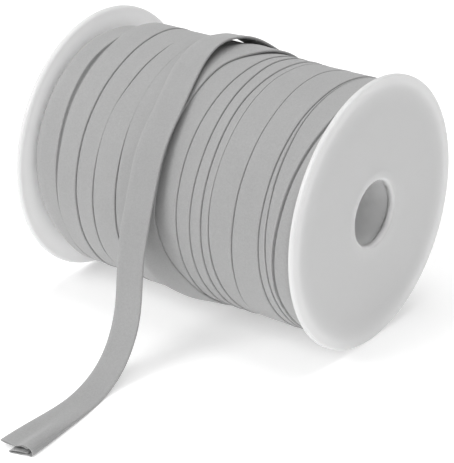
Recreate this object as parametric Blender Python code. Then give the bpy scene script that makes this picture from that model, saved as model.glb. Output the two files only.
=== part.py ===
"""A roll of double-fold bias tape on a two-flanged plastic spool, its loose end hanging in front.

Lengths in the tables and constants are millimetres, angles are degrees. The spool's axis runs along X.
Angles round the spool start at its front (-Y), rise over its top at 90 and reach its back at 180.
The model stands on the flanges' flat spots and on the loose end, at z = 0.
"""
import math
from collections import namedtuple

import bmesh
import bpy
import numpy as np

MM = 0.001
GAP = 0.3                       # clearance between pieces that touch in the real roll
SHARP_ANGLE = 30                # faces that meet more steeply are shaded flat

# Spool
FLANGE_RADIUS = 50.0
FLANGE_THICKNESS = 2.6
FLANGE_EDGE = 0.8               # rounding of the rim's two edges and of the hole's lip
WINDING_LENGTH = 118.5          # between the flanges' inner faces
BORE_RADIUS = 12.1
TUBE_WALL = 2.4
SEGMENTS = 60                   # steps round the flanges and the winding
TUBE_SEGMENTS = 40

# Tape
TAPE_WIDTH = 11.5
TAPE_THICKNESS = 1.0            # four layers of cloth, pressed flat
ROLL_RADIUS = 45.8              # low side of each turn
TURN_STEP = 0.7                 # height of a turn's open edge over its neighbour
TURN_MIDDLE = 0.6               # share of that height at the middle of a turn
EDGE_RUN = 0.35                 # how far along the spool a turn's edge takes to drop
SHOULDER_RUN = 5.0              # the turn by the far flange sinks over this length
SHOULDER_DROP = 4.0
LAST_TURN_STEP = 0.2            # the turn by the near flange rises a little, then sinks
LAST_TURN_DROP = 0.65

# The loose end is placed in front of the spool so that the whole part is centred on Y
TAIL_REACH = 136.5              # from the spool's axis to the cut end
AXIS_Y = (TAIL_REACH - FLANGE_RADIUS) / 2
AXIS_Z = FLANGE_RADIUS * math.cos(math.pi / SEGMENTS)

# Open edges of the turns, from the far flange to the near one: the edge's place along the spool at four
# angles on the front and one behind, and how far the turn that ends there stands off the roll
Edge = namedtuple("Edge", "top high front low behind lift")
EDGE_ANGLES = (85, 45, 5, -40, -180)
TURN_EDGES = (
    Edge(-45.6, -46.9, -45.6, -45.0, -51.0, 0.2),
    Edge(-34.5, -34.9, -36.3, -37.0, -40.5, 0.2),
    Edge(-24.0, -26.6, -28.2, -29.8, -30.0, 0.1),
    Edge(-17.0, -17.9, -18.2, -18.9, -21.0, 0.2),
    Edge(-9.0, -10.6, -11.4, -8.0, -3.0, 0.0),
    Edge(3.2, 1.4, 0.6, 6.9, 10.2, 0.0),
    Edge(12.3, 9.9, 9.0, 10.4, 13.0, 0.0),
    Edge(17.0, 16.2, 15.0, 15.5, 17.5, -0.2),
    Edge(22.9, 20.6, 19.8, 20.2, 21.5, -0.2),
    Edge(25.5, 24.0, 23.1, 25.0, 29.0, 0.0),
    Edge(35.8, 34.7, 33.2, 31.8, 38.0, 0.2),
    Edge(47.0, 45.6, 44.4, 44.7, 47.0, 0.1),
    Edge(55.5, 53.8, 50.9, 50.6, 53.0, 0.1),
)
# The last whole turn before the loose end sags away under the roll
SLACK_SHARES = {4: 0.5, 5: 1.0}     # row in TURN_EDGES and its share of the sag
SLACK_DROP = 1.7
SLACK_AT_EDGE = 0.4             # share of the sag that is left at the turn's edge
SLACK_ANGLES = (-126, -98, -50, 40)    # where the sag starts, is full, is full again and has gone

# The loose end, from where it leaves the roll at the back to its cut end. On the roll its centre has a place
# along the spool, an angle and a radius, and off it a place, a distance in front of the axis and a height.
# lean is how far its right edge turns outwards, in degrees.
OnRoll = namedtuple("OnRoll", "x angle radius lean")
TAIL_ON_ROLL = (
    OnRoll(5.0, 228, 47.4, 0),
    OnRoll(1.5, 190, 47.4, 0),
    OnRoll(-1.2, 160, 47.5, 1),
    OnRoll(-3.2, 142, 47.9, 3),
    OnRoll(-4.9, 130, 47.8, 4),
    OnRoll(-7.2, 120, 48.2, 6),
    OnRoll(-8.3, 110, 48.9, 5),
    OnRoll(-8.4, 100, 49.2, 8),
    OnRoll(-8.4, 90, 49.6, 9),
    OnRoll(-8.1, 81, 49.2, 9),
    OnRoll(-6.9, 70, 48.5, 4),
    OnRoll(-5.3, 57, 48.3, 1),
    OnRoll(-4.0, 43, 48.9, 0),
    OnRoll(-4.0, 34, 49.6, -2),
    OnRoll(-4.0, 26, 50.0, -3),
    OnRoll(-4.0, 17, 50.2, -3),
)
Free = namedtuple("Free", "x out height lean")
TAIL_FREE = (
    Free(-4.1, 51.0, 54.5, -3),
    Free(-2.2, 57.4, 33.6, 0),
    Free(1.0, 63.4, 21.0, 5),
    Free(3.9, 71.0, 12.4, 6),
    Free(5.2, 79.0, 5.4, 4),
    Free(6.7, 91.0, 0.7, 1),
    Free(8.8, 104.0, 0.5, 0),
    Free(9.6, 118.0, 0.5, 0),
    Free(9.9, 128.0, 0.5, 0),
    Free(10.1, TAIL_REACH, 0.5, 0),
)
ROLL_STATIONS = 24              # points along the stretch on the roll, before it hangs free
TAIL_STATIONS = 84              # sections along the whole loose end
TAIL_CHAMFER = 0.25
MOUTH_LENGTH = 38.0             # the cut end opens over this length
MOUTH_WIDTH = 14.2
MOUTH_THICKNESS = 2.4


def spline(knots, values, at):
    """Natural cubic spline through values at the knots, read at the given places."""
    knots = np.asarray(knots, float)
    values = np.asarray(values, float).reshape(len(knots), -1)
    step = np.diff(knots)
    slope = np.diff(values, axis=0) / step[:, None]
    bend = np.zeros_like(values)
    if len(knots) > 2:
        inner = np.diag(2 * (step[:-1] + step[1:])) + np.diag(step[1:-1], 1) + np.diag(step[1:-1], -1)
        bend[1:-1] = np.linalg.solve(inner, 6 * np.diff(slope, axis=0))
    at = np.asarray(at, float)
    i = np.clip(np.searchsorted(knots, at) - 1, 0, len(step) - 1)
    h = step[i][:, None]
    a = (knots[i + 1] - at)[:, None]
    b = (at - knots[i])[:, None]
    curve = (bend[i] * a ** 3 + bend[i + 1] * b ** 3) / (6 * h)
    return curve + (values[i] / h - bend[i] * h / 6) * a + (values[i + 1] / h - bend[i + 1] * h / 6) * b


def smooth_step(t):
    t = min(max(t, 0.0), 1.0)
    return t * t * (3 - 2 * t)


def plastic_or_cloth(name, colour, roughness):
    material = bpy.data.materials.new(name)
    material.use_nodes = True
    shader = material.node_tree.nodes["Principled BSDF"]
    shader.inputs["Base Color"].default_value = (*colour, 1.0)
    shader.inputs["Roughness"].default_value = roughness
    shader.inputs["Metallic"].default_value = 0.0
    material.diffuse_color = (*colour, 1.0)
    return material


def add_object(name, bm, material):
    """Turns a bmesh in millimetres round the spool's axis into an object of the scene."""
    bmesh.ops.scale(bm, vec=(MM, MM, MM), verts=bm.verts)
    bmesh.ops.translate(bm, vec=(0, AXIS_Y * MM, AXIS_Z * MM), verts=bm.verts)
    bmesh.ops.recalc_face_normals(bm, faces=bm.faces)
    mesh = bpy.data.meshes.new(name)
    bm.to_mesh(mesh)
    bm.free()
    mesh.materials.append(material)
    mesh.shade_smooth()
    mesh.set_sharp_from_angle(angle=math.radians(SHARP_ANGLE))
    bpy.context.scene.collection.objects.link(bpy.data.objects.new(name, mesh))


def turned(profile, segments):
    """Turns a closed outline of (x, radius) points about X, with a flat facet at the bottom."""
    bm = bmesh.new()
    first = math.radians(-90) + math.pi / segments
    ring = [bm.verts.new((x, -r * math.cos(first), r * math.sin(first))) for x, r in profile]
    edges = [bm.edges.new((ring[i], ring[i - 1])) for i in range(len(ring))]
    bmesh.ops.spin(bm, geom=ring + edges, axis=(1, 0, 0), cent=(0, 0, 0), angle=2 * math.pi,
                   steps=segments, use_merge=True)
    bmesh.ops.remove_doubles(bm, verts=bm.verts, dist=0.001)
    return bm


def skinned(sections, closed):
    """Joins a row of outlines with the same number of points, as a loop or with capped ends."""
    bm = bmesh.new()
    rows = [[bm.verts.new(point) for point in section] for section in sections]
    if closed:
        rows.append(rows[0])
    for row, following in zip(rows, rows[1:]):
        for i in range(len(row)):
            bm.faces.new((row[i - 1], row[i], following[i], following[i - 1]))
    if not closed:
        bm.faces.new(rows[0])
        bm.faces.new(rows[-1][::-1])
    return bm


def corner(x, radius, size, start):
    """A quarter-round corner of an outline, as three points, from the given direction."""
    points = []
    for turn in (0, 45, 90):
        a = math.radians(start + turn)
        points.append((x + size * math.cos(a), radius + size * math.sin(a)))
    return points


def make_flange(name, side, material):
    inner = WINDING_LENGTH / 2
    outer = inner + FLANGE_THICKNESS
    e = FLANGE_EDGE
    outline = ([(inner, BORE_RADIUS)]
               + corner(outer - e, BORE_RADIUS + e, e, -90)
               + corner(outer - e, FLANGE_RADIUS - e, e, 0)
               + corner(inner + e, FLANGE_RADIUS - e, e, 90))
    add_object(name, turned([(side * x, r) for x, r in outline], SEGMENTS), material)


def make_core_tube(material):
    end = WINDING_LENGTH / 2 - GAP
    outer = BORE_RADIUS + TUBE_WALL
    outline = [(-end, BORE_RADIUS), (end, BORE_RADIUS), (end, outer), (-end, outer)]
    add_object("core_tube", turned(outline, TUBE_SEGMENTS), material)


def edge_places(angles):
    """Where each open edge lies along the spool at the given angles: a row per angle."""
    table = np.array([edge[:len(EDGE_ANGLES)] for edge in TURN_EDGES])
    knots = []
    rows = []
    for turn in (-360, 0, 360):
        for angle, places in zip(EDGE_ANGLES[::-1], table.T[::-1]):
            knots.append(turn + angle)
            rows.append(places)
    return spline(knots, rows, angles)


def slack(angle):
    """How much of its sag the slack turn has at an angle, from 0 to 1."""
    start, full, still_full, gone = SLACK_ANGLES
    return smooth_step((angle - start) / (full - start)) * smooth_step((gone - angle) / (gone - still_full))


def roll_outline(angle, places):
    """One section of the roll: (x, radius) along its outside, turn by turn, then back along its hole."""
    end = WINDING_LENGTH / 2 - GAP
    left = SHOULDER_RUN - end
    outline = [(-end, ROLL_RADIUS - SHOULDER_DROP), (left, ROLL_RADIUS)]
    for row, (edge, right) in enumerate(zip(TURN_EDGES, places)):
        base = ROLL_RADIUS + edge.lift
        sag = SLACK_DROP * slack(angle) * SLACK_SHARES.get(row, 0.0)
        outline.append(((left + right) / 2, base + TURN_MIDDLE * TURN_STEP + sag))
        outline.append((right, base + TURN_STEP + SLACK_AT_EDGE * sag))
        left = right + EDGE_RUN
        outline.append((left, base))
    outline.append(((left + end) / 2, ROLL_RADIUS + LAST_TURN_STEP))
    outline.append((end, ROLL_RADIUS - LAST_TURN_DROP))
    hole = BORE_RADIUS + TUBE_WALL + GAP
    return outline + [(end, hole), (-end, hole)]


def make_winding(material):
    angles = [-180 + 360 * (i + 0.5) / SEGMENTS for i in range(SEGMENTS)]
    places = edge_places(angles)
    sections = []
    for angle, row in zip(angles, places):
        a = math.radians(angle)
        sections.append([(x, -r * math.cos(a), r * math.sin(a)) for x, r in roll_outline(angle, row)])
    add_object("tape_winding", skinned(sections, closed=True), material)


def tail_route():
    """Centre and lean of the loose end, station by station, and each station's length from the start."""
    start, leaving = TAIL_ON_ROLL[0].angle, TAIL_ON_ROLL[-1].angle
    angles = np.linspace(start, leaving, ROLL_STATIONS)
    rows = TAIL_ON_ROLL[::-1]
    on_roll = spline([p.angle for p in rows], [(p.x, p.radius, p.lean) for p in rows], angles)
    points = [(x, -r * math.cos(math.radians(a)), r * math.sin(math.radians(a)), math.radians(lean))
              for (x, r, lean), a in zip(on_roll, angles)]
    points += [(p.x, -p.out, p.height - AXIS_Z, math.radians(p.lean)) for p in TAIL_FREE]
    points = np.array(points)
    chords = np.r_[0, np.cumsum(np.linalg.norm(np.diff(points[:, :3], axis=0), axis=1))]
    places = np.linspace(0, chords[-1], TAIL_STATIONS)
    route = spline(chords, points, places)
    return route[:, :3], route[:, 3], places


def tape_frame(heading, lean):
    """The directions across the tape and out of its face, for its heading and lean."""
    heading = heading / np.linalg.norm(heading)
    level = np.array((1.0, 0.0, 0.0)) - heading[0] * heading
    level = level / np.linalg.norm(level)
    out = np.cross(heading, level)
    across = level * math.cos(lean) + out * math.sin(lean)
    return across, out * math.cos(lean) - level * math.sin(lean)


def make_tail(material):
    route, leans, places = tail_route()
    c = TAIL_CHAMFER
    sections = []
    for centre, heading, lean, place in zip(route, np.gradient(route, axis=0), leans, places):
        across, out = tape_frame(heading, lean)
        opening = smooth_step(1 - (places[-1] - place) / MOUTH_LENGTH)
        w = (TAPE_WIDTH + (MOUTH_WIDTH - TAPE_WIDTH) * opening) / 2
        t = (TAPE_THICKNESS + (MOUTH_THICKNESS - TAPE_THICKNESS) * opening) / 2
        upper = [(w, t - c), (w - c, t), (c - w, t), (-w, t - c)]
        outline = upper + [(-u, -v) for u, v in upper]
        section = np.array([centre + across * u + out * (v + t - TAPE_THICKNESS / 2) for u, v in outline])
        section[:, 2] += max(0.0, -AXIS_Z - section[:, 2].min())
        sections.append(section)
    add_object("tape_tail", skinned(sections, closed=False), material)


def main():
    for old in list(bpy.data.objects):
        bpy.data.objects.remove(old)
    plastic = plastic_or_cloth("white_plastic", (0.72, 0.72, 0.72), 0.35)
    cloth = plastic_or_cloth("grey_cotton", (0.40, 0.40, 0.40), 0.9)
    make_flange("flange_near", 1, plastic)
    make_flange("flange_far", -1, plastic)
    make_core_tube(plastic)
    make_winding(cloth)
    make_tail(cloth)


main()
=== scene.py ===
"""Looks of a roll of double-fold bias tape on a flanged spool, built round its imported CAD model.

Tables and constants are in millimetres and degrees, those of the studio in metres. Angles round the spool
start at its front (-Y), rise over its top at 90 and reach its back at 180.
"""
import math
from collections import namedtuple

import bpy
import numpy as np
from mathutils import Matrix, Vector


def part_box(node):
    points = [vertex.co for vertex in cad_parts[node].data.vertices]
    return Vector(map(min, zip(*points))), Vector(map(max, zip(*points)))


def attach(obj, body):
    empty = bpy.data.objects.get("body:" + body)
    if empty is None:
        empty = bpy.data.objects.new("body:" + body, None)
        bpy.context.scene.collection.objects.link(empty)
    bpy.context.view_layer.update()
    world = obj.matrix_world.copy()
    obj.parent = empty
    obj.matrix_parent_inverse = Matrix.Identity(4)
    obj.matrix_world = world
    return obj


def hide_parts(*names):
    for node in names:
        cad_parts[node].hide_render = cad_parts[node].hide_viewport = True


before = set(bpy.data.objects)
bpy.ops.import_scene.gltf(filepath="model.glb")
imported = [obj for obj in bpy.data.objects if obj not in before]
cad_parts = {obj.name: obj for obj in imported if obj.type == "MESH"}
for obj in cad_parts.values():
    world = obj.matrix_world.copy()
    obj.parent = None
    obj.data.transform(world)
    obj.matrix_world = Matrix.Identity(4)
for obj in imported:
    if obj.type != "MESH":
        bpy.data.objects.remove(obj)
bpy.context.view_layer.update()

MM = 0.001
SEED = 7

# The spool, read from the CAD model
disc_low, disc_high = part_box("flange_near")
AXIS_Y = (disc_low.y + disc_high.y) / 2 / MM
AXIS_Z = (disc_low.z + disc_high.z) / 2 / MM
DISC_INNER = disc_low.x / MM
DISC_OUTER = disc_high.x / MM
DISC_RADIUS = 50.0
DISC_STEPS = 288
TURNED_CREASE = 35              # faces of a turned part that meet more steeply stay sharp
RIM_ROUND = 0.9
RIM_SET_BACK = 0.25             # the outer face lies this much lower at the rim
BORE_RADIUS = 12.1
LIP_ROUND = 1.3                 # the hole's edge on the outer face
COLLAR_RADIUS = 16.2            # a faint raised ring round the hole
COLLAR_HEIGHT = 0.12
COLLAR_SLOPE = (0.8, 0.3)       # how far inside that radius it starts to fall, and is halfway down
# Radii of the outer face's rings with how far the face falls back there, and of the inner face's rings
FACE_RINGS = ((20, 0.0), (26, 0.0), (32, 0.0), (37, 0.0), (41, 0.0), (44, 0.03), (47, 0.12))
INNER_RINGS = (48, 46, 42, 30)
TUBE_WALL = 2.4
TUBE_STEPS = 160
TUBE_POINTS = 9                 # along each side of its outline
TUBE_SHORT = 0.02               # how far it stops short of a disc
TUBE_PROUD = 0.03               # how far its inside stands proud of the discs' holes

# The wound tape
ROLL_RADIUS = 46.1
ROLL_STEPS = 420
ROLL_END = DISC_INNER - 0.1     # half the shell's length, just short of the discs
ROLL_INSIDE = 40.0              # the shell's inner radius, out of sight between the discs
EDGE_STEP = 0.34                # height of a full edge over the next turn
EDGE_DEPTH = 0.65               # depth of the crevice under a full edge
EDGE_LIMIT = 1.1                # the most that an edge opens between the angles of its table
SINK_RUN = 5.4                  # the turn by the far disc sinks over this length
SINK_DEPTH = 5.0
SINK_SHAPE = ((0.0, 1.0), (0.22, 0.62), (0.5, 0.27), (1.0, 0.0))     # shares of that length and depth
UNEVEN = 0.07                   # slow unevenness of the wound surface, a sum of waves
UNEVEN_WAVES = 14
UNEVEN_ROUND = (2, 16)          # a wave's crests round the roll: the fewest, and one more than the most
UNEVEN_ALONG = 0.35             # the most that a wave turns along the spool, in radians for a millimetre

# The section across a turn: its middle rises over these shares of its width to its edge, a little rounded
MIDDLE_SHARES = (0.3, 0.5, 0.7)
MIDDLE_RISE = 0.8
MIDDLE_CURVE = 1.5
SOFT_HEIGHT = 0.94
SOFT_REACH = 0.6
SOFT_SHARE = 0.15
LAST_MIDDLE = 0.05              # the turn by the near disc rises this much, then sinks
LAST_SINK = 0.25

# The section across an open edge, down into the crevice and up from it: a point's shift along the spool,
# its share of the gap, and its height as shares of the edge's step and of the crevice's depth.
EdgePoint = namedtuple("EdgePoint", "shift gap step depth")
EDGE_FALL = (
    EdgePoint(-0.28, 0.0, 1.0, 0.0),
    EdgePoint(-0.10, 0.0, 1.0, 0.18),
    EdgePoint(0.00, 0.0, 1.0, 0.45),
    EdgePoint(-0.02, 0.0, 1.0, 0.8),
)
EDGE_RISE = (
    EdgePoint(0.02, 0.3, 0.0, 1.0),
    EdgePoint(0.14, 1.0, 0.0, 0.55),
    EdgePoint(0.30, 1.0, 0.0, 0.18),
    EdgePoint(0.60, 1.0, 0.0, 0.0),
)

# Where the turns are looser and stand off: how far, the middle's place, how wide along the spool, the
# middle's angle, and how short round the roll
Swell = namedtuple("Swell", "height x spread angle sharpness")
SWELLS = (
    Swell(0.6, -14.0, 13.0, 115, 2),
    Swell(0.9, -16.0, 5.5, -62, 8),
    Swell(0.5, -42.0, 6.0, 95, 6),
)
Spot = namedtuple("Spot", "height angle sharpness")
SINK_MORE = Spot(0.9, -40, 6)   # the sunken turn by the far disc sinks further here, by this share
FIRST_DROP = Spot(2.9, 120, 4)  # the whole of that turn lies lower here

# Open edges of the turns along the spool, from the far disc to the near one, at seven angles round it.
# The second table says how open each is at the same angles, from 0 to 1, and how wide a gap it leaves.
EDGE_ANGLES = (85, 62, 40, 15, -10, -42, -180)
EdgePlace = namedtuple("EdgePlace", "top high upper front lower low behind")
EDGE_PLACES = (
    EdgePlace(-45.7, -46.7, -46.5, -45.8, -45.4, -45.0, -51.0),
    EdgePlace(-34.4, -34.6, -35.4, -36.0, -36.6, -37.2, -40.5),
    EdgePlace(-23.9, -25.1, -27.0, -28.0, -28.9, -30.0, -30.0),
    EdgePlace(-17.0, -17.4, -17.7, -17.8, -18.5, -19.2, -21.0),
    EdgePlace(-8.6, -9.6, -10.4, -10.6, -10.0, -9.6, -10.5),
    EdgePlace(0.6, 0.2, -0.3, -0.8, -1.4, -2.0, 0.4),
    EdgePlace(12.3, 10.8, 9.7, 9.1, 9.3, 10.4, 13.0),
    EdgePlace(17.0, 16.6, 16.1, 15.4, 14.9, 15.6, 17.5),
    EdgePlace(22.6, 21.1, 20.5, 20.0, 19.7, 20.3, 21.5),
    EdgePlace(25.3, 24.4, 23.8, 23.2, 23.3, 24.8, 29.0),
    EdgePlace(35.8, 35.2, 34.5, 33.7, 32.8, 31.0, 38.0),
    EdgePlace(47.5, 46.3, 45.4, 44.7, 44.3, 44.9, 46.6),
    EdgePlace(48.6, 47.6, 47.3, 47.2, 47.4, 48.5, 51.4),
    EdgePlace(58.0, 56.6, 54.0, 51.8, 50.0, 50.8, 55.0),
)
EdgeOpen = namedtuple("EdgeOpen", "top high upper front lower low behind gap")
EDGE_OPEN = (
    EdgeOpen(0.3, 1.0, 0.8, 0.6, 0.1, 0.1, 0.5, 1.4),
    EdgeOpen(0.8, 0.9, 1.0, 1.0, 1.0, 1.0, 0.7, 0.1),
    EdgeOpen(0.0, 0.8, 0.1, 0.5, 0.9, 0.1, 0.6, 0.0),
    EdgeOpen(0.0, 0.0, 0.0, 0.9, 1.0, 1.0, 0.7, 0.0),
    EdgeOpen(0.3, 0.2, 0.2, 0.2, 0.9, 1.0, 0.8, 0.3),
    EdgeOpen(0.4, 0.5, 0.5, 0.5, 0.5, 0.5, 0.7, 0.0),
    EdgeOpen(0.8, 0.8, 0.8, 0.8, 0.8, 0.9, 0.7, 0.0),
    EdgeOpen(0.9, 1.0, 0.9, 0.8, 0.8, 1.0, 0.6, 0.0),
    EdgeOpen(0.8, 1.0, 1.0, 1.0, 1.0, 1.0, 0.8, 0.0),
    EdgeOpen(0.2, 0.3, 0.3, 0.4, 0.9, 1.0, 0.5, 0.0),
    EdgeOpen(0.3, 0.4, 0.6, 0.9, 0.9, 0.1, 0.6, 0.0),
    EdgeOpen(0.8, 0.9, 1.0, 0.9, 0.9, 1.0, 0.7, 0.0),
    EdgeOpen(0.0, 0.3, 0.8, 0.8, 0.8, 0.8, 0.3, 0.0),
    EdgeOpen(1.0, 1.0, 1.0, 1.0, 1.0, 0.6, 0.7, 0.5),
)

# The last turn lies on the others from the top down the front, sags away under the roll and rises behind,
# where the loose end goes on from it. Its centre's place, angle and radius, and its lean.
OnRoll = namedtuple("OnRoll", "x angle radius lean")
LAST_TURN = (
    OnRoll(4.8, 142, 45.0, 0),
    OnRoll(4.6, 132, 46.1, 0),
    OnRoll(4.2, 115, 46.9, 0),
    OnRoll(2.4, 100, 47.0, 0),
    OnRoll(0.0, 91, 46.7, 0),
    OnRoll(-1.6, 85, 46.6, 0),
    OnRoll(-2.8, 78, 46.5, 1),
    OnRoll(-3.7, 62, 46.4, 1),
    OnRoll(-4.6, 42, 46.6, 0),
    OnRoll(-5.0, 15, 46.9, -4),
    OnRoll(-5.3, -4, 47.5, -11),
    OnRoll(-4.0, -14, 47.7, -16),
    OnRoll(-2.6, -22, 47.7, -16),
    OnRoll(-0.4, -31, 47.5, -13),
    OnRoll(1.6, -38, 47.4, -11),
    OnRoll(3.2, -44, 47.2, -8),
    OnRoll(4.9, -51, 47.1, -7),
    OnRoll(6.2, -60, 47.0, -6),
    OnRoll(7.4, -80, 46.9, -2),
    OnRoll(6.9, -105, 46.9, 0),
    OnRoll(5.0, -132, 46.95, 0),
)
SLACK_SPREAD = 0.16             # the folded tape is wider by this share where it sags, round this angle
SLACK_ANGLE = -42
SLACK_REACH = 16

# The loose end, from there to its cut end: on the roll, then off it with a distance in front of the axis
# and a height. lean is how far its right edge turns outwards.
TAIL_ON_ROLL = (
    OnRoll(5.0, 228, 46.95, 0),
    OnRoll(1.5, 190, 47.0, 0),
    OnRoll(-1.2, 160, 47.3, 1),
    OnRoll(-3.2, 142, 47.9, 3),
    OnRoll(-4.9, 130, 47.6, 4),
    OnRoll(-7.2, 120, 48.0, 6),
    OnRoll(-8.3, 110, 48.9, 5),
    OnRoll(-8.4, 100, 49.2, 8),
    OnRoll(-8.4, 90, 49.6, 9),
    OnRoll(-8.1, 81, 49.2, 9),
    OnRoll(-6.9, 70, 48.5, 4),
    OnRoll(-4.7, 57, 48.3, 1),
    OnRoll(-3.1, 43, 48.9, 0),
    OnRoll(-3.0, 34, 49.6, -2),
    OnRoll(-3.0, 26, 50.0, -3),
    OnRoll(-3.0, 17, 50.2, -3),
)
Free = namedtuple("Free", "x out height lean")
TAIL_FREE = (
    Free(-3.3, 51.0, 54.5, -3),
    Free(-2.5, 57.4, 33.6, 0),
    Free(1.0, 63.4, 21.0, 5),
    Free(4.1, 71.0, 12.4, 5),
    Free(5.4, 79.0, 5.4, 4),
    Free(6.7, 91.0, 0.7, 1),
    Free(8.8, 104.0, 0.5, 0),
    Free(9.4, 118.0, 0.5, 0),
    Free(9.7, 128.0, 0.5, 0),
    Free(10.1, 136.5, 0.5, 0),
)
TAIL_POINTS = 24                # points of the loose end's route while it is on the roll
LAST_POINTS = 40                # and of the last turn's route
TAIL_STATIONS = 300             # sections along the loose end
LAST_STATIONS = 160             # and along the last turn
TAPE_CREASE = 50                # faces of the cloth that meet more steeply stay sharp
LAYER = 0.21                    # one layer of cloth
LEAST_HEIGHT = 0.05             # no cloth comes nearer to the surface that the spool lies on
MOUTH_LENGTH = 40.0             # the cut end opens over this length

# The folded cloth's middle line across the tape, from the lower hem's raw edge round to the upper one's:
# its place while the tape is closed, and its place and how far it reaches forward at the open cut end.
Fold = namedtuple("Fold", "closed_u closed_v open_u open_v open_s")
FOLDS = (
    Fold(4.6, -0.12, 6.3, 0.55, -0.3),
    Fold(1.5, -0.12, 3.6, 0.6, 0.2),
    Fold(-2.5, -0.12, 1.2, 0.45, 0.8),
    Fold(-5.1, -0.13, 0.1, 0.2, 1.0),
    Fold(-5.62, -0.25, -0.25, -0.05, 1.1),
    Fold(-5.1, -0.37, 0.2, -0.29, 1.1),
    Fold(-2.5, -0.375, 1.6, -0.3, 1.0),
    Fold(1.5, -0.375, 4.5, -0.3, 0.3),
    Fold(4.8, -0.375, 7.4, -0.28, -0.3),
    Fold(5.55, -0.22, 8.1, -0.05, -0.5),
    Fold(5.62, 0.0, 8.35, 0.6, -0.5),
    Fold(5.55, 0.22, 8.15, 1.35, -0.5),
    Fold(4.8, 0.375, 7.2, 2.45, -0.4),
    Fold(1.5, 0.375, 4.0, 2.85, -0.4),
    Fold(-2.5, 0.375, 0.3, 1.75, -0.5),
    Fold(-5.1, 0.37, -4.4, 1.95, -0.7),
    Fold(-5.62, 0.25, -5.2, 1.75, -0.7),
    Fold(-5.1, 0.13, -4.5, 1.5, -0.7),
    Fold(-2.5, 0.12, 0.4, 1.45, -0.5),
    Fold(1.5, 0.12, 3.9, 2.45, -0.4),
    Fold(4.6, 0.12, 6.4, 2.05, -0.4),
)
FOLD_POINTS = 44
BEND_ROWS = (4, 9, 10, 11, 16)  # rows of FOLDS where the cloth turns back, with more points round them
BEND_POINTS = 5
BEND_REACH = 0.5
LEAST_CHORD = 0.15              # rows that lie closer count as this far apart

# The cotton's threads cross the tape at 45 degrees. The roll's cloth map has whole threads round it.
THREAD_REPEAT = 0.42 * math.sqrt(2)
CLOTH_RADIUS = 46.4
CLOTH_ROUND = round(2 * math.pi * CLOTH_RADIUS / THREAD_REPEAT) * THREAD_REPEAT
COTTON_SHADE = 0.37
COTTON_ROUGHNESS = 0.92
COTTON_SPECULAR = 0.25
COTTON_SHEEN = 0.15
COTTON_SHEEN_ROUGHNESS = 0.5
COTTON_LET_IN = 0.4             # share of the light that passes into the cloth
COTTON_REACH = 1.2              # and how far
COTTON_BUMP = 0.35
COTTON_RELIEF = 0.08
WEAVE_SHADE = 0.09              # how much the weave, uneven threads and slow clouds change the shade
SLUB_SHADE = 0.3
CLOUD_SHADE = 0.07
WEAVE_HEIGHT = 0.5              # what the weave and the uneven threads add to the relief
SLUB_HEIGHT = 0.7

# Noise of the shaders: cells in a metre, octaves and their roughness
Noise = namedtuple("Noise", "scale detail roughness")
SLUB_NOISE = Noise(1600.0, 2.0, 0.7)
CLOUD_NOISE = Noise(60.0, 3.0, 0.5)
MARBLE_NOISE = Noise(35.0, 2.0, 0.5)
GRAIN_NOISE = Noise(1500.0, 2.0, 0.5)

# The plastic's own shade, and the painted light and shade added to it towards the rim, on the discs' inner
# faces and in the hole. A Fade goes from one value to the other between two radii, or two distances.
Fade = namedtuple("Fade", "start end before after")
PLASTIC_SHADE = 0.66
PLASTIC_ROUGHNESS = 0.42
PLASTIC_COAT = 0.12
PLASTIC_COAT_ROUGHNESS = 0.25
PLASTIC_LET_IN = 1.0
PLASTIC_REACH = 8.0
PLASTIC_BUMP = 0.08
PLASTIC_RELIEF = 0.1
MARBLE_SHADE = 0.015
PAINTED_LIGHT_PAST_TAPE = Fade(38.0, 49.0, 0.0, 0.08)        # painted light: lighter past the tape that stands behind a disc, where more light comes through
PAINTED_RIM_SHADE = Fade(DISC_RADIUS - 3.5, DISC_RADIUS, 0.0, 0.10)     # and painted shade, darker again at its very rim
# painted light: lighter round the hole, on the hole's lip and inside the core tube
PAINTED_HOLE_LIGHT = Fade(BORE_RADIUS + 0.1, BORE_RADIUS + 0.9, 0.27, 0.0)
PAINTED_INNER_LIGHT = Fade(DISC_INNER + 0.1, DISC_INNER + 0.5, 0.17, 0.0)    # painted light on the discs' inner faces, by distance along the spool
PAINTED_INNER_LIGHT_SHARE = Fade(44.0, 49.5, 1.0, 0.15)    # the share of it that is left by radius

# The studio, in metres but for the camera's place
Lamp = namedtuple("Lamp", "name place size power")
LAMPS = (
    Lamp("key", (-0.42, -0.85, 0.8), 0.6, 7.3),
    Lamp("top", (0.0, 0.15, 1.2), 0.9, 5.6),
)
LAMP_AIM = (0.0, 0.0, 0.05)
WORLD_LIGHT = 0.45
FLOOR_HALF = 6.0
FLOOR_SHADE = 0.86
FLOOR_ROUGHNESS = 0.9
FLOOR_GLOW = 0.36
CAMERA_PLACE = (459.8, -581.66, 383.46)
CAMERA_AROUND = 36.514
CAMERA_ABOVE = 24.724
CAMERA_LENS = 179.67
CAMERA_NEAREST = 0.05
CAMERA_FARTHEST = 20.0


class Value:
    """An output of a node tree. Arithmetic on it adds Math nodes to the tree."""

    def __init__(self, tree, socket):
        self.tree = tree
        self.socket = socket

    def math(self, operation, first, second=0.0):
        return self.tree.add("ShaderNodeMath", {"operation": operation}, {0: first, 1: second})

    def __add__(self, other):
        return self.math("ADD", self, other)

    def __radd__(self, other):
        return self.math("ADD", other, self)

    def __sub__(self, other):
        return self.math("SUBTRACT", self, other)

    def __rsub__(self, other):
        return self.math("SUBTRACT", other, self)

    def __mul__(self, other):
        return self.math("MULTIPLY", self, other)

    def __truediv__(self, other):
        return self.math("DIVIDE", self, other)

    def sine(self):
        return self.math("SINE", self)

    def cosine(self):
        return self.math("COSINE", self)

    def absolute(self):
        return self.math("ABSOLUTE", self)

    def at_least(self, other):
        return self.math("MAXIMUM", self, other)

    def root(self):
        return self.math("SQRT", self)


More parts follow.
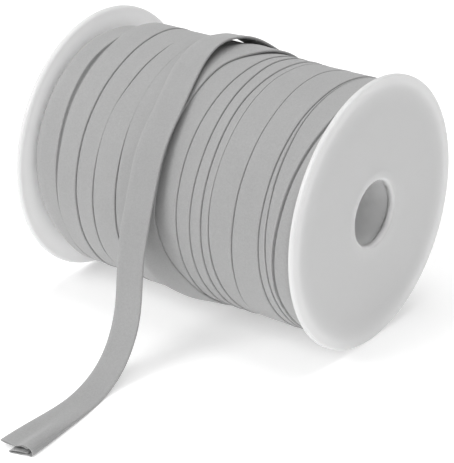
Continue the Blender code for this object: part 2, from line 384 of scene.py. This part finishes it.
class Tree:
    """A node tree filled by calls: add() makes one node and gives one of its outputs."""

    def __init__(self, node_tree):
        self.nodes = node_tree.nodes
        self.links = node_tree.links

    def add(self, kind, settings=None, inputs=None, output=0):
        node = self.nodes.new(kind)
        for name, value in (settings or {}).items():
            setattr(node, name, value)
        for key, value in (inputs or {}).items():
            if isinstance(value, Value):
                self.links.new(value.socket, node.inputs[key])
            else:
                node.inputs[key].default_value = value
        return Value(self, node.outputs[output])

    def part(self, vector, axis):
        return self.add("ShaderNodeSeparateXYZ", None, {0: vector}, axis)

    def scaled(self, vector, factor):
        return self.add("ShaderNodeVectorMath", {"operation": "SCALE"}, {0: vector, "Scale": factor})

    def fade(self, value, row):
        return self.add("ShaderNodeMapRange", {"interpolation_type": "SMOOTHSTEP"},
                        {0: value, 1: row.start, 2: row.end, 3: row.before, 4: row.after})

    def noise(self, place, row):
        return self.add("ShaderNodeTexNoise", {"noise_dimensions": "3D"},
                        {"Vector": place, "Scale": row.scale, "Detail": row.detail,
                         "Roughness": row.roughness})


def grey(shade):
    return (shade, shade, shade, 1.0)


def new_material(name, roughness):
    material = bpy.data.materials.new(name)
    material.use_nodes = True
    shader = material.node_tree.nodes["Principled BSDF"]
    shader.inputs["Roughness"].default_value = roughness
    return material, shader, Tree(material.node_tree)


def let_light_in(shader, share, reach):
    shader.inputs["Subsurface Weight"].default_value = share
    shader.inputs["Subsurface Radius"].default_value = (1.0, 1.0, 1.0)
    shader.inputs["Subsurface Scale"].default_value = reach * MM


def add_looks(tree, shader, shade, height, bump, relief):
    """Gives a shader its grey shade and its fine relief."""
    colour = tree.scaled((1.0, 1.0, 1.0), shade)
    tree.links.new(colour.socket, shader.inputs["Base Color"])
    normal = tree.add("ShaderNodeBump", None,
                      {"Strength": bump, "Distance": relief * MM, "Height": height})
    tree.links.new(normal.socket, shader.inputs["Normal"])


def cotton(name):
    """Plain-woven cotton cut on the bias: its threads cross the tape at 45 degrees both ways."""
    material, shader, tree = new_material(name, COTTON_ROUGHNESS)
    shader.inputs["Sheen Weight"].default_value = COTTON_SHEEN
    shader.inputs["Sheen Roughness"].default_value = COTTON_SHEEN_ROUGHNESS
    shader.inputs["Specular IOR Level"].default_value = COTTON_SPECULAR
    let_light_in(shader, COTTON_LET_IN, COTTON_REACH)
    place = tree.add("ShaderNodeUVMap", {"uv_map": "cloth"})
    across = tree.part(place, 0)
    along = tree.part(place, 1)
    turn = 2 * math.pi / THREAD_REPEAT
    over = ((across + along) * turn).sine() * ((across - along) * turn).sine()
    solid = tree.add("ShaderNodeTexCoord", None, None, "Object")
    slub = tree.noise(solid, SLUB_NOISE)
    cloud = tree.noise(solid, CLOUD_NOISE)
    shade = 1.0 + over * WEAVE_SHADE + (slub - 0.5) * SLUB_SHADE + (cloud - 0.5) * CLOUD_SHADE
    height = over * WEAVE_HEIGHT + slub * SLUB_HEIGHT
    add_looks(tree, shader, shade * COTTON_SHADE, height, COTTON_BUMP, COTTON_RELIEF)
    return material


def moulded_plastic(name):
    """Translucent white plastic with painted light and shade: darker where the wound tape stands behind it.
    """
    material, shader, tree = new_material(name, PLASTIC_ROUGHNESS)
    shader.inputs["Coat Weight"].default_value = PLASTIC_COAT
    shader.inputs["Coat Roughness"].default_value = PLASTIC_COAT_ROUGHNESS
    let_light_in(shader, PLASTIC_LET_IN, PLASTIC_REACH)
    solid = tree.add("ShaderNodeTexCoord", None, None, "Object")
    side = tree.part(solid, 1) - AXIS_Y * MM
    up = tree.part(solid, 2) - AXIS_Z * MM
    radius = (side * side + up * up).root() / MM
    along = tree.part(solid, 0).absolute() / MM
    # painted light on the inner faces, round the hole and past the tape behind a disc; painted shade at the
    # rim
    inner_painted_light = tree.fade(along, PAINTED_INNER_LIGHT) * tree.fade(radius, PAINTED_INNER_LIGHT_SHARE)
    shade = PLASTIC_SHADE + tree.fade(radius, PAINTED_HOLE_LIGHT) + tree.fade(radius, PAINTED_LIGHT_PAST_TAPE) + inner_painted_light
    shade = shade - tree.fade(radius, PAINTED_RIM_SHADE) + (tree.noise(solid, MARBLE_NOISE) - 0.5) * MARBLE_SHADE
    add_looks(tree, shader, shade, tree.noise(solid, GRAIN_NOISE), PLASTIC_BUMP, PLASTIC_RELIEF)
    return material


def spline(knots, values, at):
    """Natural cubic spline through values at the knots, read at the given places."""
    knots = np.asarray(knots, float)
    values = np.asarray(values, float).reshape(len(knots), -1)
    step = np.diff(knots)
    slope = np.diff(values, axis=0) / step[:, None]
    bend = np.zeros_like(values)
    if len(knots) > 2:
        inner = np.diag(2 * (step[:-1] + step[1:])) + np.diag(step[1:-1], 1) + np.diag(step[1:-1], -1)
        bend[1:-1] = np.linalg.solve(inner, 6 * np.diff(slope, axis=0))
    at = np.asarray(at, float)
    i = np.clip(np.searchsorted(knots, at) - 1, 0, len(step) - 1)
    h = step[i][:, None]
    a = (knots[i + 1] - at)[:, None]
    b = (at - knots[i])[:, None]
    curve = (bend[i] * a ** 3 + bend[i + 1] * b ** 3) / (6 * h)
    return curve + (values[i] / h - bend[i] * h / 6) * a + (values[i + 1] / h - bend[i + 1] * h / 6) * b


def smooth_step(t):
    t = np.clip(t, 0.0, 1.0)
    return t * t * (3 - 2 * t)


def unit(vectors):
    return vectors / np.linalg.norm(vectors, axis=1)[:, None]


def lengths_along(points, least=0.0):
    """How far along a line each of its points is."""
    return np.r_[0, np.cumsum(np.maximum(np.linalg.norm(np.diff(points, axis=0), axis=1), least))]


def signed_volume(mesh):
    mesh.calc_loop_triangles()
    points = np.zeros(len(mesh.vertices) * 3)
    mesh.vertices.foreach_get("co", points)
    points = points.reshape(-1, 3)
    corners = np.zeros(len(mesh.loop_triangles) * 3, np.int32)
    mesh.loop_triangles.foreach_get("vertices", corners)
    a, b, c = points[corners.reshape(-1, 3)].transpose(1, 0, 2)
    return float((a * np.cross(b, c)).sum() / 6)


def finish_mesh(mesh, material, sharp=None):
    """Faces a closed mesh outwards and shades it smooth, with creases over the sharp angle."""
    if signed_volume(mesh) < 0:
        mesh.flip_normals()
    if not mesh.materials:
        mesh.materials.append(material)
    mesh.shade_smooth()
    if sharp is not None:
        mesh.set_sharp_from_angle(angle=math.radians(sharp))


def place_object(name, mesh):
    piece = bpy.data.objects.new(name, mesh)
    bpy.context.scene.collection.objects.link(piece)
    return piece


# Geometry Nodes trees

def geometry_tree(name, inputs):
    """A Geometry Nodes tree with a mesh going in and out, and the named inputs."""
    group = bpy.data.node_groups.new(name, "GeometryNodeTree")
    group.interface.new_socket("Mesh", in_out="INPUT", socket_type="NodeSocketGeometry")
    group.interface.new_socket("Mesh", in_out="OUTPUT", socket_type="NodeSocketGeometry")
    for label, kind in inputs:
        group.interface.new_socket(label, in_out="INPUT", socket_type="NodeSocket" + kind)
    tree = Tree(group)
    entry = group.nodes.new("NodeGroupInput")
    tree.named = {socket.name: Value(tree, socket) for socket in entry.outputs if socket.name}
    tree.group = group
    return tree


def close_tree(tree, geometry, material):
    realized = tree.add("GeometryNodeRealizeInstances", None, {"Geometry": geometry})
    dressed = tree.add("GeometryNodeSetMaterial", None, {"Geometry": realized, "Material": material})
    exit_node = tree.nodes.new("NodeGroupOutput")
    tree.links.new(dressed.socket, exit_node.inputs[0])
    return tree.group


def field(tree, name):
    return tree.add("GeometryNodeInputNamedAttribute", {"data_type": "FLOAT"}, {"Name": name})


def vector_field(tree, name):
    return tree.add("GeometryNodeInputNamedAttribute", {"data_type": "FLOAT_VECTOR"}, {"Name": name})


def keep_field(tree, geometry, name, value, kind="FLOAT", domain="POINT"):
    return tree.add("GeometryNodeStoreNamedAttribute", {"data_type": kind, "domain": domain},
                    {"Geometry": geometry, "Name": name, "Value": value})


def turned_tree():
    """Turns the incoming outline, its X along the spool and its Y the radius, round the spool's axis."""
    tree = geometry_tree("turned", (("Steps", "Int"), ("Axis Y", "Float"), ("Axis Z", "Float"),
                                    ("Floor", "Float"), ("Material", "Material")))
    outline = tree.add("GeometryNodeInputPosition")
    marked = keep_field(tree, tree.named["Mesh"], "outline", outline, "FLOAT_VECTOR")
    section = tree.add("GeometryNodeMeshToCurve", None, {"Mesh": marked})
    circle = tree.add("GeometryNodeCurvePrimitiveCircle", {"mode": "RADIUS"},
                      {"Resolution": tree.named["Steps"], "Radius": 1.0})
    index = tree.add("GeometryNodeInputIndex")
    turn = (index + 0.5) / tree.named["Steps"] * (2 * math.pi) - math.pi / 2
    rail = keep_field(tree, circle, "turn", turn)
    swept = tree.add("GeometryNodeCurveToMesh", None, {"Curve": rail, "Profile Curve": section})
    place = vector_field(tree, "outline")
    x = tree.part(place, 0)
    radius = tree.part(place, 1)
    angle = field(tree, "turn")
    y = tree.named["Axis Y"] - radius * angle.cosine()
    z = (tree.named["Axis Z"] + radius * angle.sine()).at_least(tree.named["Floor"])
    position = tree.add("ShaderNodeCombineXYZ", None, {0: x, 1: y, 2: z})
    moved = tree.add("GeometryNodeSetPosition", None, {"Geometry": swept, "Position": position})
    return close_tree(tree, moved, tree.named["Material"])


def tape_tree():
    """Sweeps the folded cloth's section along a route. The section opens as the route's opening grows."""
    tree = geometry_tree("folded_tape", (("Section", "Object"), ("Material", "Material")))
    section = tree.add("GeometryNodeObjectInfo", None, {"Object": tree.named["Section"]}, "Geometry")
    profile = tree.add("GeometryNodeMeshToCurve", None, {"Mesh": section})
    rail = tree.add("GeometryNodeMeshToCurve", None, {"Mesh": tree.named["Mesh"]})
    swept = tree.add("GeometryNodeCurveToMesh", None,
                     {"Curve": rail, "Profile Curve": profile, "Fill Caps": True})
    opening = field(tree, "opening")
    u = field(tree, "closed_u") * (1 - opening) + field(tree, "open_u") * opening
    v = field(tree, "closed_v") * (1 - opening) + field(tree, "open_v") * opening
    position = vector_field(tree, "centre")
    for direction, distance in (("across", u), ("out", v), ("ahead", field(tree, "open_s") * opening)):
        offset = tree.scaled(vector_field(tree, direction), distance)
        position = tree.add("ShaderNodeVectorMath", {"operation": "ADD"}, {0: position, 1: offset})
    x, y, z = (tree.part(position, axis) for axis in range(3))
    position = tree.add("ShaderNodeCombineXYZ", None, {0: x, 1: y, 2: z.at_least(LEAST_HEIGHT * MM)})
    moved = tree.add("GeometryNodeSetPosition", None, {"Geometry": swept, "Position": position})
    cloth = tree.add("ShaderNodeCombineXYZ", None,
                     {0: field(tree, "cloth_across"), 1: field(tree, "cloth_along")})
    mapped = keep_field(tree, moved, "cloth", cloth, "FLOAT2", "CORNER")
    return close_tree(tree, mapped, tree.named["Material"])


def run_tree(name, group, mesh, inputs):
    """Runs a tree on a mesh, and gives the result as a plain mesh in metres."""
    source = place_object(name + "_source", mesh)
    modifier = source.modifiers.new("build", "NODES")
    modifier.node_group = group
    for item in group.interface.items_tree:
        if item.item_type == "SOCKET" and item.in_out == "INPUT" and item.name in inputs:
            modifier[item.identifier] = inputs[item.name]
    bpy.context.view_layer.update()
    graph = bpy.context.evaluated_depsgraph_get()
    made = bpy.data.meshes.new_from_object(source.evaluated_get(graph), depsgraph=graph)
    source.modifiers.remove(modifier)
    bpy.data.objects.remove(source)
    made.name = name
    return made


def line_mesh(name, points, closed=False):
    mesh = bpy.data.meshes.new(name)
    count = len(points)
    edges = [(i, i + 1) for i in range(count - 1)]
    if closed:
        edges.append((count - 1, 0))
    mesh.from_pydata([tuple(map(float, p)) for p in points], edges, [])
    return mesh


def give_field(mesh, name, values, kind="FLOAT"):
    attribute = mesh.attributes.new(name, kind, "POINT")
    key = "value" if kind == "FLOAT" else "vector"
    attribute.data.foreach_set(key, np.asarray(values, np.float32).ravel())


def rounded(x, radius, size, start, count=7):
    """A quarter-round corner of an outline, from the given direction."""
    points = []
    for turn in np.linspace(0, 90, count):
        a = math.radians(start + turn)
        points.append((x + size * math.cos(a), radius + size * math.sin(a)))
    return points


def make_turned(name, outline, steps, material):
    points = [(x * MM, r * MM, 0.0) for x, r in outline]
    mesh = run_tree(name, TURNED, line_mesh(name + "_outline", points, closed=True),
                    {"Steps": steps, "Axis Y": AXIS_Y * MM, "Axis Z": AXIS_Z * MM, "Floor": 0.0,
                     "Material": material})
    finish_mesh(mesh, material, TURNED_CREASE)
    return place_object(name, mesh)


def make_disc(name, side, material):
    """One of the spool's two end discs, its rim and the hole's lip rounded, with a faint collar."""
    face = DISC_OUTER - COLLAR_HEIGHT
    start, halfway = COLLAR_SLOPE
    outline = [(DISC_INNER, BORE_RADIUS)]
    outline += rounded(DISC_OUTER - LIP_ROUND, BORE_RADIUS + LIP_ROUND, LIP_ROUND, -90)
    outline += [(DISC_OUTER, COLLAR_RADIUS - start),
                (DISC_OUTER - COLLAR_HEIGHT / 2, COLLAR_RADIUS - halfway),
                (face, COLLAR_RADIUS)]
    outline += [(face - fall, radius) for radius, fall in FACE_RINGS]
    outline += rounded(DISC_OUTER - RIM_SET_BACK - RIM_ROUND, DISC_RADIUS - RIM_ROUND, RIM_ROUND, 0)
    outline += rounded(DISC_INNER + RIM_ROUND, DISC_RADIUS - RIM_ROUND, RIM_ROUND, 90)
    outline += [(DISC_INNER, radius) for radius in INNER_RINGS]
    return make_turned(name, [(side * x, r) for x, r in outline], DISC_STEPS, material)


def make_bore(material):
    end = DISC_INNER - TUBE_SHORT
    inside = [(x, BORE_RADIUS - TUBE_PROUD) for x in np.linspace(-end, end, TUBE_POINTS)]
    outside = [(x, BORE_RADIUS + TUBE_WALL) for x in np.linspace(end, -end, TUBE_POINTS)]
    return make_turned("core_bore", inside + outside, TUBE_STEPS, material)


def unevenness(rng, x, angle):
    """A slow unevenness of the wound surface, in millimetres, that closes round the roll."""
    total = np.zeros(np.broadcast(x, angle).shape)
    for _ in range(UNEVEN_WAVES):
        around = rng.integers(*UNEVEN_ROUND)
        along = rng.uniform(-UNEVEN_ALONG, UNEVEN_ALONG)
        phase = rng.uniform(0, 2 * math.pi)
        total += np.sin(around * np.radians(angle) + along * x + phase)
    return UNEVEN * total / math.sqrt(UNEVEN_WAVES)


def edge_rows(table, angles):
    """The table's columns at every angle round the roll: a row per angle."""
    values = np.array([row[:len(EDGE_ANGLES)] for row in table])
    knots = []
    rows = []
    for turn in (-360, 0, 360):
        for angle, column in zip(EDGE_ANGLES[::-1], values.T[::-1]):
            knots.append(turn + angle)
            rows.append(column)
    return spline(knots, rows, angles)


def near_angle(angles, spot):
    """1 at the spot's own angle, falling to 0 a quarter turn away."""
    return np.maximum(np.cos(np.radians(angles - spot.angle)), 0.0) ** spot.sharpness


def edge_points(rows, x, step, deep, apart):
    return [(x + row.shift + apart * row.gap, step * row.step - deep * row.depth) for row in rows]


def band_outline(places, opens, gaps, sink, drop):
    """One section of the wound surface from disc to disc, as (x, height over the roll)."""
    run = SINK_RUN * sink
    depth = SINK_DEPTH * sink
    points = [(run * along - ROLL_END, -depth * down) for along, down in SINK_SHAPE]
    left = run - ROLL_END
    for turn, (x, is_open, gap) in enumerate(zip(places, opens, gaps)):
        step = EDGE_STEP * is_open
        deep = EDGE_DEPTH * is_open * (1 + gap)
        apart = gap * is_open
        width = x - left
        for share in MIDDLE_SHARES:
            points.append((left + width * share, step * share ** MIDDLE_CURVE * MIDDLE_RISE))
        points.append((x - min(SOFT_REACH, SOFT_SHARE * width), step * SOFT_HEIGHT))
        points += edge_points(EDGE_FALL, x, step, deep, apart)
        if turn == 0:
            points = [(place, height - drop) for place, height in points]
        points += edge_points(EDGE_RISE, x, step, deep, apart)
        left = points[-1][0]
    points += [((left + ROLL_END) / 2, LAST_MIDDLE), (ROLL_END, -LAST_SINK)]
    return points


def make_roll(material):
    """All the turns that the last one lies on, as one closed shell round the core."""
    rng = np.random.default_rng(SEED)
    angles = -180 + 360 * (np.arange(ROLL_STEPS) + 0.5) / ROLL_STEPS
    places = edge_rows(EDGE_PLACES, angles)
    opens = np.clip(edge_rows(EDGE_OPEN, angles), 0.0, EDGE_LIMIT)
    gaps = [row.gap for row in EDGE_OPEN]
    sinks = 1 + SINK_MORE.height * near_angle(angles, SINK_MORE)
    drops = FIRST_DROP.height * near_angle(angles, FIRST_DROP)
    sections = np.array([band_outline(x, o, gaps, sink, drop)
                         for x, o, sink, drop in zip(places, opens, sinks, drops)])
    x, height = sections.transpose(2, 0, 1)
    height = height + unevenness(rng, x, angles[:, None])
    for swell in SWELLS:
        round_it = near_angle(angles, swell)[:, None]
        height += swell.height * round_it * np.exp(-((x - swell.x) / swell.spread) ** 2)
    x = np.hstack([x, np.full((ROLL_STEPS, 2), (ROLL_END, -ROLL_END))])
    radius = np.hstack([ROLL_RADIUS + height, np.full((ROLL_STEPS, 2), ROLL_INSIDE)])
    turn = np.radians(angles)[:, None]
    points = np.stack([x, AXIS_Y - radius * np.cos(turn), AXIS_Z + radius * np.sin(turn)], axis=2) * MM
    return grid_mesh("roll_of_tape", points, x, material)


def grid_mesh(name, points, x, material):
    """A shell that closes both ways, with its cloth map."""
    rows, columns = points.shape[:2]
    i = np.repeat(np.arange(rows), columns)
    j = np.tile(np.arange(columns), rows)
    next_i = (i + 1) % rows
    next_j = (j + 1) % columns
    faces = np.stack([i * columns + j, next_i * columns + j,
                      next_i * columns + next_j, i * columns + next_j], axis=1)
    mesh = bpy.data.meshes.new(name)
    mesh.from_pydata(points.reshape(-1, 3).tolist(), [], faces.tolist())
    along = (np.stack([i, i + 1, i + 1, i], axis=1) / rows) * CLOTH_ROUND
    across = x.reshape(-1)[faces]
    layer = mesh.uv_layers.new(name="cloth")
    layer.data.foreach_set("uv", np.stack([across, along], axis=2).astype(np.float32).ravel())
    finish_mesh(mesh, material)
    return mesh


def polar_points(table, count):
    """Points along a stretch that lies on the roll, evenly spaced by angle: x, y, z and the lean."""
    rows = sorted(table, key=lambda p: p.angle)
    angles = np.linspace(table[0].angle, table[-1].angle, count)
    values = spline([p.angle for p in rows], [(p.x, p.radius, p.lean) for p in rows], angles)
    turn = np.radians(angles)
    spread = 1 + SLACK_SPREAD * np.exp(-((angles - SLACK_ANGLE) / SLACK_REACH) ** 2)
    return np.stack([values[:, 0], -values[:, 1] * np.cos(turn), values[:, 1] * np.sin(turn),
                     np.radians(values[:, 2]), spread], axis=1)


def route_mesh(name, points, stations, open_end):
    """The route of a stretch of tape, with the directions across it and out of its face."""
    knots = lengths_along(points[:, :3])
    places = np.linspace(0, knots[-1], stations)
    route = spline(knots, points, places)
    centre = route[:, :3]
    lean = route[:, 3][:, None]
    spread = route[:, 4][:, None]
    heading = unit(np.gradient(centre, axis=0))
    level = unit(np.array((1.0, 0.0, 0.0)) - heading[:, :1] * heading)
    out = np.cross(heading, level)
    across = level * np.cos(lean) + out * np.sin(lean)
    out = out * np.cos(lean) - level * np.sin(lean)
    opening = smooth_step(1 - (places[-1] - places) / MOUTH_LENGTH) if open_end else np.zeros(stations)
    centre = centre + np.array((0.0, AXIS_Y, AXIS_Z))
    mesh = line_mesh(name, centre * MM)
    give_field(mesh, "centre", centre * MM, "FLOAT_VECTOR")
    give_field(mesh, "across", across * spread * MM, "FLOAT_VECTOR")
    give_field(mesh, "out", out * MM, "FLOAT_VECTOR")
    give_field(mesh, "ahead", heading * MM, "FLOAT_VECTOR")
    give_field(mesh, "opening", opening)
    give_field(mesh, "cloth_along", places)
    return mesh, places[-1]


def layer_outline(middle):
    """The two faces of a layer of cloth that follows the given middle line, as one closed outline."""
    heading = unit(np.gradient(middle, axis=0))
    side = np.stack([-heading[:, 1], heading[:, 0]], axis=1) * LAYER / 2
    return np.vstack([middle + side, (middle - side)[::-1]])


def tape_section():
    """The section of the folded tape as a helper object: closed, and as it stands at the cut end."""
    closed = np.array([(f.closed_u, f.closed_v) for f in FOLDS])
    opened = np.array([(f.open_u, f.open_v, f.open_s) for f in FOLDS])
    knots = lengths_along(closed, LEAST_CHORD)
    dense = [np.linspace(knots[row] - BEND_REACH, knots[row] + BEND_REACH, BEND_POINTS)
             for row in BEND_ROWS]
    places = np.unique(np.concatenate([np.linspace(0, knots[-1], FOLD_POINTS)] + dense))
    middle = spline(knots, np.hstack([closed, opened]), places)
    shut = layer_outline(middle[:, :2])
    wide = layer_outline(middle[:, 2:4])
    mesh = line_mesh("tape_section", np.hstack([shut, np.zeros((len(shut), 1))]) * MM, closed=True)
    for name, values in (("closed_u", shut[:, 0]), ("closed_v", shut[:, 1]),
                         ("open_u", wide[:, 0]), ("open_v", wide[:, 1]),
                         ("open_s", np.r_[middle[:, 4], middle[::-1, 4]]),
                         ("cloth_across", np.r_[places, places[::-1]])):
        give_field(mesh, name, values)
    return place_object("tape_section", mesh)


def make_tape(name, points, stations, open_end, material):
    route, length = route_mesh(name + "_route", points, stations, open_end)
    mesh = run_tree(name, TAPE, route, {"Section": SECTION, "Material": material})
    finish_mesh(mesh, material, TAPE_CREASE)
    return mesh, length


def tail_points():
    on_roll = polar_points(TAIL_ON_ROLL, TAIL_POINTS)
    free = np.array([(p.x, -p.out, p.height - AXIS_Z, math.radians(p.lean), 1.0) for p in TAIL_FREE])
    return np.vstack([on_roll, free])


def joined(name, meshes):
    """Several meshes as one piece."""
    pieces = [place_object(name, mesh) for mesh in meshes]
    with bpy.context.temp_override(active_object=pieces[0], object=pieces[0], selected_objects=pieces,
                                   selected_editable_objects=pieces):
        bpy.ops.object.join()
    pieces[0].name = name
    return pieces[0]


def add_lamp(lamp):
    light = bpy.data.lights.new(lamp.name, "AREA")
    light.shape = "SQUARE"
    light.size = lamp.size
    light.energy = lamp.power
    holder = bpy.data.objects.new(lamp.name, light)
    holder.location = lamp.place
    holder.rotation_mode = "QUATERNION"
    holder.rotation_quaternion = (Vector(LAMP_AIM) - Vector(lamp.place)).to_track_quat("-Z", "Y")
    bpy.context.scene.collection.objects.link(holder)


def make_studio():
    scene = bpy.context.scene
    scene.view_settings.view_transform = "Standard"
    world = bpy.data.worlds.new("studio")
    world.use_nodes = True
    background = world.node_tree.nodes["Background"]
    background.inputs["Color"].default_value = grey(1.0)
    background.inputs["Strength"].default_value = WORLD_LIGHT
    scene.world = world
    for lamp in LAMPS:
        add_lamp(lamp)
    floor_mesh = bpy.data.meshes.new("floor")
    corners = [(x * FLOOR_HALF, y * FLOOR_HALF, 0) for x, y in ((-1, -1), (1, -1), (1, 1), (-1, 1))]
    floor_mesh.from_pydata(corners, [], [(0, 1, 2, 3)])
    floor = place_object("floor", floor_mesh)
    material, shader, _ = new_material("pale_floor", FLOOR_ROUGHNESS)
    shader.inputs["Base Color"].default_value = grey(FLOOR_SHADE)
    shader.inputs["Emission Color"].default_value = grey(1.0)
    shader.inputs["Emission Strength"].default_value = FLOOR_GLOW
    floor_mesh.materials.append(material)


def make_camera():
    a = math.radians(CAMERA_AROUND)
    e = math.radians(CAMERA_ABOVE)
    back = Vector((math.sin(a) * math.cos(e), -math.cos(a) * math.cos(e), math.sin(e)))
    data = bpy.data.cameras.new("camera")
    data.lens = CAMERA_LENS
    data.clip_start = CAMERA_NEAREST
    data.clip_end = CAMERA_FARTHEST
    camera = bpy.data.objects.new("camera", data)
    camera.location = Vector(CAMERA_PLACE) * MM
    camera.rotation_mode = "QUATERNION"
    camera.rotation_quaternion = (-back).to_track_quat("-Z", "Y")
    bpy.context.scene.collection.objects.link(camera)
    bpy.context.scene.camera = camera


make_camera()
make_studio()
TURNED = turned_tree()
TAPE = tape_tree()
SECTION = tape_section()
plastic = moulded_plastic("white_moulded_plastic")
cloth = cotton("grey_bias_cotton")

near = make_disc("near_disc", 1, plastic)
far = make_disc("far_disc", -1, plastic)
bore = make_bore(plastic)
roll_mesh = make_roll(cloth)
last_mesh, _ = make_tape("last_turn", polar_points(LAST_TURN, LAST_POINTS), LAST_STATIONS, False, cloth)
winding = joined("wound_tape", [roll_mesh, last_mesh])
tail_mesh, tail_length = make_tape("loose_end", tail_points(), TAIL_STATIONS, True, cloth)
tail = place_object("loose_end", tail_mesh)
bpy.data.objects.remove(SECTION)

for piece, node, slot in ((near, "flange_near", "spool_plastic"), (far, "flange_far", "spool_plastic"),
                          (bore, "core_tube", "spool_plastic"), (winding, "tape_winding", "tape_cotton"),
                          (tail, "tape_tail", "tape_cotton")):
    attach(piece, "root")
    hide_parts(node)
